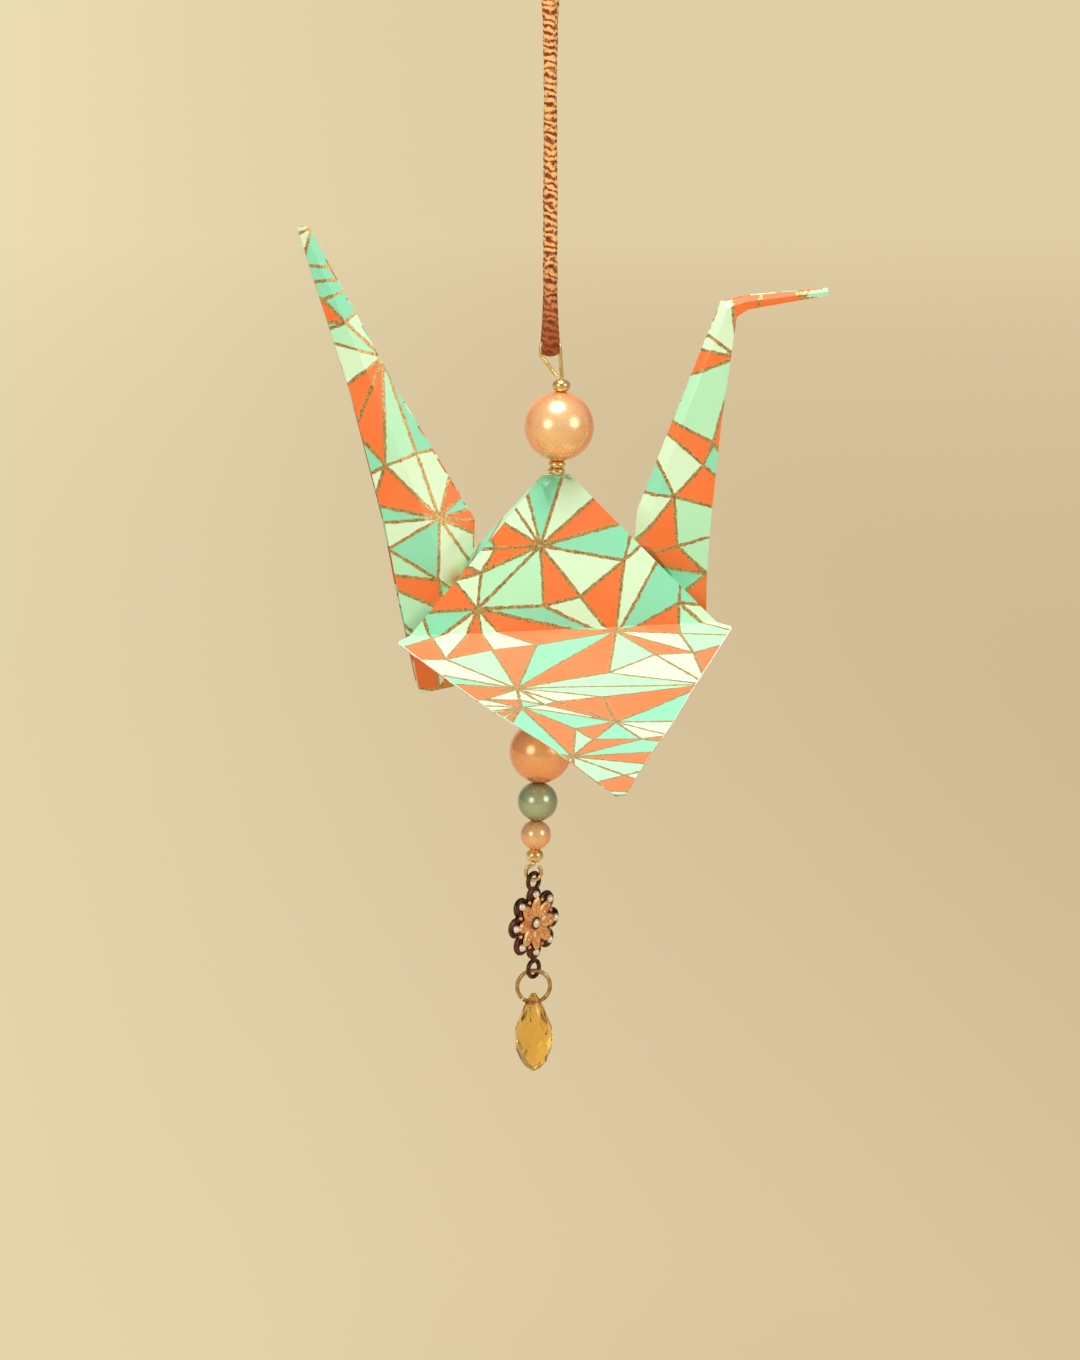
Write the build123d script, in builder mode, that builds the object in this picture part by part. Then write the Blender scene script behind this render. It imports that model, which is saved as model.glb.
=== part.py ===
"""Origami crane ornament: a folded paper crane on a beaded wire, hung from a doubled satin cord.

The origin is the hanging point, between the two halves of the cord just under its knot.
+Z is up, +X points the way the crane's beak does and the tail is on the -X side.
"""

from math import cos, pi, radians, sin, sqrt, tan
import os

from build123d import *

# Cord, in millimetres
cord_diameter = 2.4
cord_drop = 78.5
cord_opening = 2.5
knot_height = 10.5
knot_radius = 3.2
knot_wrap_tilt = 27.0
knot_tail_length = 3.0

# Wire and the way it leans
wire_diameter = 0.76
lean_angle = 3.2
stem_offset = 2.45
eye_width = 4.2
eye_top = 1.5
eye_shoulder = 0.8
eye_knee = 1.0
eye_foot = 4.8
eye_bend_radius = 0.7
loop_radius = 1.5
loop_turn = 70.0
loop_arc = 306.0
bore_clearance = 0.1
bead_gap = 0.02

# Beads, from the top down
upper_spacer_diameter = 3.4
upper_spacer_height = 2.3
upper_pearl_diameter = 13.2
ring_spacer_diameter = 3.3
ring_spacer_height = 1.25
lower_pearl_diameter = 12.0
green_pearl_diameter = 7.7
peach_pearl_diameter = 5.9
gold_bead_diameter = 3.4
gold_bead_height = 2.5
bead_rim = 0.35
lower_pearl_drop = 71.0
stop_diameter = 1.7
stop_height = 1.8
stop_gap = 0.03

# Folded sheet
sheet_side = 152.4
paper = 0.3
wing_paper = 0.55
wing_slit_width = 0.35
wing_slit_depth = 0.3
wing_slope = 11.0
wing_tip_cut = 2.5
body_opening = 6.5
crane_offset = 1.77
crane_roll = 1.3
cap_length = 5.4
cap_width = 2.6
cap_seat = 0.16
belly_slope = 0.26
belly_crease_depth = 6.7
tail_corner = (-27.3, -11.8)
neck_corner = (27.4, -9.8)
hole_clearance = 0.27

# Flower link
link_radius = 7.3
link_plate = 1.0
link_turn = 42.5
link_scallops = 8
link_scallop_radius = 1.85
link_dot_radius = 0.62
link_petal_length = 3.7
link_petal_width = 2.0
link_relief = 0.5
link_boss_radius = 1.15
link_hole_radius = 0.62
link_loop_radius = 1.6
link_loop_wire = 0.9
link_loop_reach = 1.0
link_foot_reach = 1.9
link_stalk_width = 1.2
link_stalk_height = 1.4
link_rise = 0.52

# Jump ring and glass drop
ring_radius = 3.2
ring_wire = 0.8
ring_seam = 8.0
ring_rise = 0.35
drop_length = 15.6
drop_diameter = 7.5
drop_facets = 8
drop_hole_radius = 0.8
drop_hole_depth = 1.75
drop_rise = 0.03

# Planes of the wire and of the crane
strand = Plane(
    origin=(stem_offset, 0, -cord_drop - eye_top),
    x_dir=(cos(radians(lean_angle)), 0, -sin(radians(lean_angle))),
    z_dir=(sin(radians(lean_angle)), 0, cos(radians(lean_angle))),
)
strand_face = Plane(origin=strand.origin, x_dir=strand.x_dir, z_dir=(0, -1, 0))
bore_radius = wire_diameter / 2 + bore_clearance


def export(piece, label):
    """Label a finished piece and write its STEP file."""
    piece.part.label = label
    export_step(piece.part, f"parts/{label}.step")


def bend_radii(points, first):
    """Return one radius for each corner, as large as its two runs allow."""
    radii = [first]
    for before, corner, after in zip(points[1:], points[2:], points[3:]):
        turn = (corner - before).get_angle(after - corner)
        shorter = min((corner - before).length, (after - corner).length)
        radii.append(0.45 * shorter / tan(radians(turn / 2)))
    return radii


def make_cord(label, side):
    """Make one half of the cord, from under the eye's bar up to the knot."""
    wrap = wire_diameter / 2 + cord_diameter / 2 + 2 * bead_gap
    beside = cord_diameter / 2 + bead_gap
    bar = -cord_drop
    route = [
        (0, 0, bar - wrap),
        (0, -wrap * side, bar - wrap),
        (0.02 * side, -1.02 * beside * side, bar + 9),
        (-0.06 * beside * side, -1.02 * beside * side, bar + 45),
        (-0.45 * beside * side, -0.96 * beside * side, bar + 67),
        (-cord_opening * side, -0.4 * side, -1.0),
        (-0.54 * cord_diameter * side, 0.0, knot_height - 0.9 * knot_radius),
    ]
    points = [Vector(*point) for point in route]
    radii = bend_radii(points, 0.94 * wrap)
    print(label, "radii", [round(radius, 1) for radius in radii])
    with BuildPart() as cord:
        with BuildLine():
            path = FilletPolyline(*points, radius=radii)
        with BuildSketch(Plane(origin=path @ 0, z_dir=path % 0)):
            Circle(cord_diameter / 2)
        sweep(path=path)
    straight = pi * (cord_diameter / 2) ** 2 * path.length
    print(label, "length", round(path.length, 1), "volume", round(cord.part.volume / straight, 4))
    export(cord, label)


def pearl_height(diameter):
    """Return the height of a round bead between the flat rims of its bore."""
    return 2 * sqrt((diameter / 2) ** 2 - (bore_radius + bead_rim) ** 2)


def make_bead(label, diameter, height, top):
    """Make a drilled bead whose upper rim is the given way down the wire, and return its lower rim."""
    rim = bore_radius + bead_rim
    level = -top - height / 2
    with BuildPart() as bead:
        with BuildSketch(strand_face):
            with BuildLine():
                bore = Line((bore_radius, -top - height), (bore_radius, -top))
                upper = Line(bore @ 1, (rim, -top))
                side = ThreePointArc(upper @ 1, (diameter / 2, level), (rim, -top - height))
                Line(side @ 1, bore @ 0)
            make_face()
        revolve(axis=Axis(strand.origin, strand.z_dir))
    export(bead, label)
    return top + height + bead_gap


os.makedirs("parts", exist_ok=True)

make_cord("cord_front", 1)
make_cord("cord_back", -1)

# Knot: a round lump, one slanted wrap and the two cut ends
wrap_axis = Vector(sin(radians(knot_wrap_tilt)), 0, cos(radians(knot_wrap_tilt)))
wrap_centre = Vector(0, 0, knot_height)
with BuildPart(Plane(wrap_centre, z_dir=wrap_axis)) as cord_knot:
    Sphere(knot_radius)
    Torus(knot_radius - 0.3, 0.45 * cord_diameter)
    for side in (-1, 1):
        with BuildSketch(Plane(wrap_centre, z_dir=(0.55 * side, 0.2 * side, 1))):
            Circle(0.42 * cord_diameter)
        extrude(amount=knot_radius + knot_tail_length)
export(cord_knot, "cord_knot")

# Beads above the crane
spacer_top = eye_foot + wire_diameter / 2 + bore_clearance
pearl_top = make_bead("upper_spacer", upper_spacer_diameter, upper_spacer_height, spacer_top)
discs_top = make_bead("upper_pearl", upper_pearl_diameter, pearl_height(upper_pearl_diameter), pearl_top)
disc_top = make_bead("ring_spacer_top", ring_spacer_diameter, ring_spacer_height, discs_top)
cap_top = make_bead("ring_spacer_bottom", ring_spacer_diameter, ring_spacer_height, disc_top)

# Beads below the crane
green_top = make_bead("lower_pearl", lower_pearl_diameter, pearl_height(lower_pearl_diameter), lower_pearl_drop)
peach_top = make_bead("green_pearl", green_pearl_diameter, pearl_height(green_pearl_diameter), green_top)
gold_top = make_bead("peach_pearl", peach_pearl_diameter, pearl_height(peach_pearl_diameter), peach_top)
foot_top = make_bead("gold_bead", gold_bead_diameter, gold_bead_height, gold_top)

# Wire: three-cornered eye, straight stem, and a loop that closes beside the stem
foot_bend = loop_radius * cos(radians(loop_turn)) / (1 - cos(radians(loop_turn)))
foot_rise = (loop_radius + foot_bend) * sin(radians(loop_turn))
loop_drop = foot_top + foot_rise
with BuildPart() as wire_pin:
    with BuildLine(strand_face) as wire_path:
        FilletPolyline(
            (-wire_diameter - 0.2, -eye_foot),
            (-eye_width, -eye_knee),
            (-eye_width, eye_top - 0.2),
            (-eye_shoulder, eye_top),
            (0, -eye_foot),
            (0, -foot_top),
            radius=eye_bend_radius,
        )
        CenterArc((-foot_bend, -foot_top), foot_bend, 0, -loop_turn)
        CenterArc((0, -loop_drop), loop_radius, 180 - loop_turn, loop_arc)
    wire_route = wire_path.wire()
    with BuildSketch(Plane(origin=wire_route @ 0, z_dir=wire_route % 0)):
        Circle(wire_diameter / 2)
    sweep(path=wire_route)
export(wire_pin, "wire_pin")

# The bird base that the sheet gives: its half width, and the height of the open hump
half_base = sheet_side * (sqrt(2) - 1) / 2
hump_height = sqrt(half_base**2 - body_opening**2)
hump_slope = body_opening / hump_height
wing_length = sheet_side / 2
cap_depth = cap_length / 2 * hump_height / half_base
crane_drop = cap_top + cap_seat + paper / 2 + hump_height - cap_depth
crane_axis = Vector(-sin(radians(crane_roll)), 0, cos(radians(crane_roll)))
crane = Plane(
    origin=(crane_offset, 0, strand.from_local_coords(Vector(0, 0, -crane_drop)).Z),
    x_dir=(cos(radians(crane_roll)), 0, sin(radians(crane_roll))),
    z_dir=crane_axis,
)

# Crimp on the wire under the hump's top, wedged between the two faces
stop_depth = (stop_diameter / 2 + stop_gap + paper / 2 * sqrt(1 + hump_slope**2)) / hump_slope
make_bead("stop_crimp", stop_diameter, stop_height, cap_top + stop_depth - cap_depth)


def place(x, y, z):
    """Return the point of the model at a place in the crane's own frame."""
    return crane.from_local_coords(Vector(x, y, z))


def plate(thickness, *corners):
    """Add a flat panel of paper with the given corners to the part being built."""
    points = [place(*corner) for corner in corners]
    across = points[1] - points[0]
    flat = Plane(origin=points[0], x_dir=across, z_dir=across.cross(points[2] - points[0]))
    outline = [flat.to_local_coords(point) for point in points]
    with BuildSketch(flat) as panel:
        Polygon(*[(point.X, point.Y) for point in outline], align=None)
    extrude(panel.sketch, amount=thickness / 2, both=True)


def crease(start, end, radius):
    """Add the rounded edge of a fold between two places to the part being built."""
    first = place(*start)
    run = place(*end) - first
    with BuildSketch(Plane(origin=first, z_dir=run)) as section:
        Circle(radius)
    extrude(section.sketch, amount=run.length)


def leg_section(outer, spine, fold, outer_gap, fold_gap):
    """Return the folded section of the tail or neck, open at its outer edge and closed at its spine."""
    start = place(outer[0], 0, outer[1])
    across = place(spine[0], 0, spine[1]) - start
    width = across.length
    half = paper / 2
    flat = Plane(origin=start, x_dir=across, z_dir=across.cross(Vector(0, 1, 0)))
    centres = [(0, -outer_gap), (fold * width, -fold_gap), (width, 0), (fold * width, fold_gap), (0, outer_gap)]
    lean = half * (fold_gap / ((1 - fold) * width))
    outside = [(x, y - half if y < 0 else y + half) for x, y in centres]
    inside = [(x, y + half if y < 0 else y - half) for x, y in reversed(centres)]
    outside[2] = (width + half, 0)
    inside[2] = (width - half - lean, 0)
    with BuildSketch(flat) as section:
        Polygon(*outside, *inside, align=None)
    return section.sketch


def add_leg(sections):
    """Add the tail or the neck, straight-sided between its sections, to the part being built."""
    loft([leg_section(*section) for section in sections], ruled=True)


# Tail and neck: outer edge, spine, how far across the fold lies, and the two half openings
tail_sections = [
    (tail_corner, (-12.3, -9.0), 0.50, 3.4, 3.7),
    ((-30.9, 8.5), (-18.9, 8.8), 0.72, 3.6, 2.8),
    ((-31.8, 14.5), (-15.9, 14.5), 0.58, 3.6, 3.1),
    ((-32.8, 20.6), (-15.6, 20.6), 0.46, 3.4, 3.0),
    ((-38.2, 45.0), (-29.1, 45.0), 0.52, 1.9, 1.9),
    ((-47.1, 76.5), (-44.9, 76.5), 0.50, 0.5, 0.55),
]
neck_sections = [
    (neck_corner, (11.2, -8.8), 0.50, 3.4, 3.6),
    ((27.9, 8.5), (18.6, 8.8), 0.70, 3.5, 2.6),
    ((28.4, 14.5), (14.6, 14.5), 0.82, 3.5, 2.9),
    ((29.1, 21.0), (15.3, 21.0), 0.84, 3.3, 2.8),
    ((31.3, 37.5), (22.2, 37.5), 0.80, 2.3, 2.1),
    ((34.9, 57.9), (32.0, 60.9), 0.60, 0.9, 1.0),
    ((37.0, 59.0), (36.8, 61.7), 0.55, 0.8, 0.85),
    ((52.3, 60.4), (52.2, 61.8), 0.50, 0.45, 0.5),
]

# Folded body
top_gap = cap_depth * hump_slope
top_level = hump_height - cap_depth
valley_depth = 0.292 * hump_height
valley_reach = 0.602 * half_base
fold_radius = 0.62 * paper
drop_slope = radians(wing_slope)
wing_end = wing_length - wing_tip_cut
tip_half = half_base * wing_tip_cut / wing_length

with BuildPart() as paper_crane:
    for side in (-1, 1):
        left = (-half_base, side * body_opening, 0)
        right = (half_base, side * body_opening, 0)
        top_left = (-cap_length / 2, side * top_gap, top_level)
        top_right = (cap_length / 2, side * top_gap, top_level)
        plate(paper, left, right, top_right, top_left)
        for start, end in ((left, top_left), (right, top_right)):
            valley = (valley_reach if end is top_right else -valley_reach, 0, valley_depth)
            plate(paper, start, end, valley)
            crease(start, end, fold_radius)
        belly = [
            (x, side * (body_opening + belly_slope * z), z)
            for x, z in (tail_corner, (0, -belly_crease_depth), neck_corner)
        ]
        plate(paper, left, right, belly[2], belly[1])
        plate(paper, left, belly[1], belly[0])
        for start, end in ((left, belly[0]), (right, belly[2]), (belly[0], belly[1]), (belly[1], belly[2])):
            crease(start, end, fold_radius)
        reach = body_opening + wing_end * cos(drop_slope)
        fall = wing_end * sin(drop_slope)
        plate(wing_paper, left, right, (tip_half, side * reach, -fall), (-tip_half, side * reach, -fall))
        crease(left, right, 0.6 * wing_paper)
        root = place(0, side * (body_opening + wing_paper), -wing_paper * sin(drop_slope))
        along = place(0, side * reach, -fall) - place(0, side * body_opening, 0)
        with BuildSketch(Plane(origin=root, x_dir=crane.x_dir, z_dir=along)) as slit:
            with Locations((0, wing_paper / 2 if side > 0 else -wing_paper / 2)):
                Rectangle(wing_slit_width, 2 * wing_slit_depth)
        extrude(slit.sketch, amount=along.length, mode=Mode.SUBTRACT)
    for end in (-1, 1):
        rim = end * cap_length / 2
        plate(paper, (rim, -top_gap, top_level), (rim, top_gap, top_level), (end * valley_reach, 0, valley_depth))
    plate(
        paper,
        (-cap_length / 2, -cap_width / 2, top_level),
        (cap_length / 2, -cap_width / 2, top_level),
        (cap_length / 2, cap_width / 2, top_level),
        (-cap_length / 2, cap_width / 2, top_level),
    )
    add_leg(tail_sections)
    add_leg(neck_sections)
    with BuildSketch(strand.offset(-cap_top + 1)):
        Circle(wire_diameter / 2 + hole_clearance)
    extrude(amount=-(hump_height + belly_crease_depth + 12), mode=Mode.SUBTRACT)
export(paper_crane, "paper_crane")
print("crane solids", len(paper_crane.solids()), "faces", len(paper_crane.faces()))

# Flower link, turned about the vertical, its upper loop threaded through the wire's loop
loop_centre = strand.from_local_coords(Vector(0, 0, -loop_drop))
link_top = loop_centre.Z - loop_radius + wire_diameter / 2 + link_loop_wire / 2 + link_rise
top_offset = link_radius + link_loop_reach
foot_offset = link_radius + link_foot_reach
link_centre = Vector(loop_centre.X, 0, link_top - link_loop_radius - top_offset)
link_face = Plane(
    origin=link_centre,
    x_dir=(cos(radians(link_turn)), sin(radians(link_turn)), 0),
    z_dir=(sin(radians(link_turn)), -cos(radians(link_turn)), 0),
)
petal_middle = link_boss_radius + link_petal_length / 2
with BuildPart() as flower_link:
    with BuildSketch(link_face):
        Circle(link_radius - link_scallop_radius)
        with PolarLocations(link_radius - link_scallop_radius, link_scallops):
            Circle(link_scallop_radius)
        with PolarLocations(petal_middle + 0.5, link_scallops, start_angle=180 / link_scallops):
            Circle(link_hole_radius, mode=Mode.SUBTRACT)
        with Locations((0, -link_radius)):
            Rectangle(link_stalk_width, link_stalk_height)
    extrude(amount=link_plate / 2, both=True)
    with BuildSketch(link_face):
        with PolarLocations(petal_middle - 0.4, link_scallops):
            Ellipse(link_petal_length / 2, link_petal_width / 2)
    extrude(amount=link_plate / 2 + link_relief, both=True)
    for side in (-1, 1):
        with BuildSketch(link_face):
            with PolarLocations(link_radius - link_scallop_radius, link_scallops):
                Circle(link_dot_radius)
            Circle(link_boss_radius)
        extrude(amount=side * (link_plate / 2 + link_relief + 0.15))
    for offset in (top_offset, -foot_offset):
        loop_middle = link_face.from_local_coords(Vector(0, offset, 0))
        across = Plane(origin=loop_middle, x_dir=link_face.x_dir, z_dir=(0, 0, 1))
        with BuildSketch(across):
            with Locations((link_loop_radius, 0)):
                Circle(link_loop_wire / 2)
        revolve(axis=Axis(loop_middle, link_face.z_dir))
export(flower_link, "flower_link")

# Jump ring, its two ends side by side at the lower left
link_foot = link_centre.Z - foot_offset
ring_top = link_foot - link_loop_radius + link_loop_wire / 2 + ring_wire / 2 + ring_rise
ring_centre = Vector(link_centre.X, 0, ring_top - ring_radius)
with BuildPart() as jump_ring:
    with BuildLine(Plane(origin=ring_centre, x_dir=(1, 0, 0), z_dir=(0, -1, 0))):
        ring_line = CenterArc((0, 0), ring_radius, 232, 360 - ring_seam)
    with BuildSketch(Plane(origin=ring_line @ 0, z_dir=ring_line % 0)):
        Circle(ring_wire / 2)
    sweep(path=ring_line)
export(jump_ring, "jump_ring")

# Glass drop: staggered rings of corners from its neck to its point
drop_profile = [
    (0.0, 0.13),
    (0.06, 0.30),
    (0.16, 0.50),
    (0.29, 0.74),
    (0.44, 0.95),
    (0.58, 1.0),
    (0.73, 0.92),
    (0.86, 0.71),
    (0.95, 0.42),
    (1.0, 0.10),
]
drop_hole = ring_centre.Z - ring_radius + drop_rise
drop_top = drop_hole + drop_hole_depth
corners = []
for level, (fraction, width) in enumerate(drop_profile):
    for count in range(drop_facets):
        angle = 2 * pi * (count + 0.5 * (level % 2)) / drop_facets
        reach = width * drop_diameter / 2
        corners.append((reach * cos(angle), reach * sin(angle), -fraction * drop_length))
with BuildPart() as glass_drop:
    with Locations((ring_centre.X, 0, drop_top)):
        ConvexPolyhedron(corners)
    with BuildSketch(Plane(origin=(ring_centre.X, 0, drop_hole), z_dir=(1, 0, 0))):
        Circle(drop_hole_radius)
    extrude(amount=drop_diameter, both=True, mode=Mode.SUBTRACT)
export(glass_drop, "glass_drop")
print("hinges", loop_centre, link_centre, link_foot, ring_centre, drop_hole)
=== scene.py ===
"""Looks of a hanging paper crane: its printed sheet, pearls, wire, satin cord, flower link and glass drop.

Sizes in the classes are in millimetres. Meshes are in metres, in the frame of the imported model.
"""

import logging
import math
import random
from collections.abc import Callable
from dataclasses import dataclass, field
from enum import Enum

import bpy
from mathutils import Matrix, Vector
from mathutils.geometry import delaunay_2d_cdt


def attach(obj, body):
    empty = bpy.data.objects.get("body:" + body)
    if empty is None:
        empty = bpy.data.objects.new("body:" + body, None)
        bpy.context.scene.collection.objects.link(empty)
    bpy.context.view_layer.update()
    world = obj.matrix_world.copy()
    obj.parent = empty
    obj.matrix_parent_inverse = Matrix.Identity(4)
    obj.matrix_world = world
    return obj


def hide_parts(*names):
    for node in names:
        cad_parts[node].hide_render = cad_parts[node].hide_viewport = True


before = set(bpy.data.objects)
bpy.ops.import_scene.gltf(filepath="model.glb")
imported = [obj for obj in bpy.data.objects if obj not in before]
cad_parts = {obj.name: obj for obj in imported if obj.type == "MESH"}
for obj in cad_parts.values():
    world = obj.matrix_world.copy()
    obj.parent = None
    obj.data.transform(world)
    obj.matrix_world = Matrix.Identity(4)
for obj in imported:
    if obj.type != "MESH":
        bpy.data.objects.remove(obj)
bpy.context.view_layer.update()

MM = 0.001
# The part of a noise texture's output that is stretched to run from 0 to 1.
NOISE_RANGE = (0.3, 0.7)
# Length of one rib of the cord's satin.
RIB_PITCH = 1.3
# Printed pieces with a smaller area, in square millimetres, are left out.
SMALLEST_AREA = 1e-5
# Points of one layer merge where they round to the same step, and this is the number of steps in a millimetre.
MERGE_STEPS = 500
# Material slots of the sheet. Solidify moves inner faces one slot on, from the print to the back. The last slot has
# none after it, so faces in it stay printed on both sides.
PRINT_SLOT, BACK_SLOT, DOUBLED_SLOT = 0, 1, 2
# Layers of the folded sheet whose points stay apart: the tail's and the neck's, given here, and the hump's top.
LEG_LAYERS = {-1: 8, 1: 10}
CAP_LAYER = 11
log = logging.getLogger("crane")

Flat = tuple[float, float]
Place = tuple[float, float, float]
Shade = tuple[int, int, int]


def linear(red: int, green: int, blue: int) -> tuple[float, float, float, float]:
    """Turn a screen colour into linear light.

    Args:
        red: the red channel, from 0 to 255.
        green: the green channel.
        blue: the blue channel.

    Returns:
        The linear red, green and blue, and 1 for full cover.
    """
    light = []
    for value in (red, green, blue):
        share = value / 255
        light.append(share / 12.92 if share <= 0.04045 else ((share + 0.055) / 1.055) ** 2.4)
    return (light[0], light[1], light[2], 1.0)


def deselect() -> None:
    """Leave edit mode and deselect every object."""
    if bpy.context.object and bpy.context.object.mode != "OBJECT":
        bpy.ops.object.mode_set(mode="OBJECT")
    bpy.ops.object.select_all(action="DESELECT")


def activate(piece: bpy.types.Object) -> None:
    """Select one object alone and make it active.

    Args:
        piece: the object.
    """
    deselect()
    piece.select_set(True)
    bpy.context.view_layer.objects.active = piece


def new_piece(name: str, points: list[Vector], faces: list[list[int]]) -> bpy.types.Object:
    """Add a mesh object.

    Args:
        name: the name of the mesh and the object.
        points: its points, in metres.
        faces: the indices of each face's points, in order.

    Returns:
        The object, with its origin at the origin of the frame.
    """
    mesh = bpy.data.meshes.new(name)
    mesh.from_pydata(points, [], faces)
    mesh.update()
    piece = bpy.data.objects.new(name, mesh)
    bpy.context.scene.collection.objects.link(piece)
    return piece


def apply_modifiers(piece: bpy.types.Object) -> None:
    """Apply every modifier of an object, in order.

    Args:
        piece: the object.
    """
    activate(piece)
    for modifier in list(piece.modifiers):
        bpy.ops.object.modifier_apply(modifier=modifier.name)


def settle(piece: bpy.types.Object, angle: float = 30.0) -> None:
    """Turn an object's faces outwards and smooth its shallow edges.

    Args:
        piece: the object.
        angle: the sharpest edge that is still smoothed, in degrees.
    """
    activate(piece)
    bpy.ops.object.mode_set(mode="EDIT")
    bpy.ops.mesh.select_all(action="SELECT")
    bpy.ops.mesh.normals_make_consistent(inside=False)
    bpy.ops.object.mode_set(mode="OBJECT")
    bpy.ops.object.shade_smooth_by_angle(angle=math.radians(angle))
    deselect()


def pick(piece: bpy.types.Object, test: Callable[[Vector], bool]) -> None:
    """Select the points of a piece that pass a test, and enter edit mode.

    Args:
        piece: the piece, with its points in metres.
        test: says whether a point, in millimetres, is selected.
    """
    activate(piece)
    bpy.ops.object.mode_set(mode="EDIT")
    bpy.ops.mesh.select_mode(type="VERT")
    bpy.ops.mesh.select_all(action="DESELECT")
    bpy.ops.object.mode_set(mode="OBJECT")
    for vertex in piece.data.vertices:
        vertex.select = test(vertex.co / MM)
    bpy.ops.object.mode_set(mode="EDIT")


def surface_grain() -> bpy.types.NodeTree:
    """Give the node group of cloudy patches and fine grain that the finishes share.

    Returns:
        The group, which is made on the first call.
    """
    group = bpy.data.node_groups.get("surface_grain")
    if group:
        return group
    group = bpy.data.node_groups.new("surface_grain", "ShaderNodeTree")
    group.interface.new_socket(name="Vector", in_out="INPUT", socket_type="NodeSocketVector")
    for name in ("Patch Scale", "Grain Scale"):
        group.interface.new_socket(name=name, in_out="INPUT", socket_type="NodeSocketFloat")
    for name in ("Patch", "Grain"):
        group.interface.new_socket(name=name, in_out="OUTPUT", socket_type="NodeSocketFloat")
    entry, leave = group.nodes.new("NodeGroupInput"), group.nodes.new("NodeGroupOutput")
    for scale, detail, result in (("Patch Scale", 3.0, "Patch"), ("Grain Scale", 2.0, "Grain")):
        noise = group.nodes.new("ShaderNodeTexNoise")
        noise.inputs["Detail"].default_value = detail
        group.links.new(entry.outputs["Vector"], noise.inputs["Vector"])
        group.links.new(entry.outputs[scale], noise.inputs["Scale"])
        span = group.nodes.new("ShaderNodeMapRange")
        for slot, value in zip(list(span.inputs)[1:5], (*NOISE_RANGE, 0.0, 1.0)):
            slot.default_value = value
        group.links.new(noise.outputs["Fac"], span.inputs[0])
        group.links.new(span.outputs[0], leave.inputs[result])
    return group


class Finish:
    """A material and its node tree, with short calls to add and join nodes."""

    def __init__(self, name: str) -> None:
        """Start a material with its surface shader alone.

        Args:
            name: the material's name.
        """
        self.material = bpy.data.materials.new(name)
        self.material.use_nodes = True
        self.tree = self.material.node_tree
        self.surface = self.tree.nodes["Principled BSDF"]

    def node(self, kind: str, **settings: object) -> bpy.types.Node:
        """Add a node and set its properties.

        Args:
            kind: the node's type.
            settings: its properties, by name.

        Returns:
            The node.
        """
        made = self.tree.nodes.new(kind)
        for name, value in settings.items():
            setattr(made, name, value)
        return made

    def join(self, source: bpy.types.NodeSocket, target: bpy.types.NodeSocket) -> None:
        """Join an output to an input."""
        self.tree.links.new(source, target)

    def feed(self, slot: bpy.types.NodeSocket, value: object) -> None:
        """Join an output to an input, or set the input.

        Args:
            slot: the input.
            value: an output to join, or a plain value.
        """
        if isinstance(value, bpy.types.NodeSocket):
            self.join(value, slot)
        else:
            slot.default_value = value

    def set(self, **values: object) -> None:
        """Set or feed the surface shader's inputs, named with underscores for spaces."""
        for name, value in values.items():
            self.feed(self.surface.inputs[name.replace("_", " ")], value)

    def math(self, operation: str, *inputs: object) -> bpy.types.NodeSocket:
        """Add a math node.

        Args:
            operation: the sum to do.
            inputs: outputs to join or plain numbers, in order.

        Returns:
            The result.
        """
        made = self.node("ShaderNodeMath", operation=operation)
        for slot, value in zip(made.inputs, inputs):
            self.feed(slot, value)
        return made.outputs[0]

    def mix(self, share: object, first: object, second: object) -> bpy.types.NodeSocket:
        """Add a colour mix.

        Args:
            share: how much of the second colour is mixed in.
            first: the colour at a share of 0.
            second: the colour at a share of 1.

        Returns:
            The mixed colour.
        """
        made = self.node("ShaderNodeMix", data_type="RGBA")
        for slot, value in zip((made.inputs[0], made.inputs[6], made.inputs[7]), (share, first, second)):
            self.feed(slot, value)
        return made.outputs[2]

    def grain(self, patch: float, fine: float) -> tuple[bpy.types.NodeSocket, bpy.types.NodeSocket]:
        """Place the shared grain.

        Args:
            patch: scale of the cloudy patches, in waves a metre.
            fine: scale of the fine grain, in waves a metre.

        Returns:
            The cloudy patches and the fine grain, each from 0 to 1.
        """
        made = self.node("ShaderNodeGroup", node_tree=surface_grain())
        self.join(self.node("ShaderNodeTexCoord").outputs["Object"], made.inputs["Vector"])
        made.inputs["Patch Scale"].default_value = patch
        made.inputs["Grain Scale"].default_value = fine
        return made.outputs["Patch"], made.outputs["Grain"]

    def spread(
        self, value: object, low: float, high: float, to_low: float, to_high: float, smooth: bool = False
    ) -> bpy.types.NodeSocket:
        """Map a value from one range to another, held at the ends.

        Args:
            value: the output to map.
            low: the value at the start of its range.
            high: the value at the end of its range.
            to_low: the result at the start.
            to_high: the result at the end.
            smooth: whether the ends are soft.

        Returns:
            The mapped value.
        """
        made = self.node("ShaderNodeMapRange", interpolation_type="SMOOTHSTEP" if smooth else "LINEAR")
        self.join(value, made.inputs[0])
        for slot, number in zip(list(made.inputs)[1:5], (low, high, to_low, to_high)):
            slot.default_value = number
        return made.outputs[0]

    def bump(self, height: bpy.types.NodeSocket, distance: float, strength: float = 1.0) -> None:
        """Feed the surface's normal from a height.

        Args:
            height: the output to raise the surface by.
            distance: how far a height of 1 stands up, in metres.
            strength: share of that height which is shown.
        """
        made = self.node("ShaderNodeBump")
        made.inputs["Strength"].default_value = strength
        made.inputs["Distance"].default_value = distance
        self.join(height, made.inputs["Height"])
        self.join(made.outputs[0], self.surface.inputs["Normal"])


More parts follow.
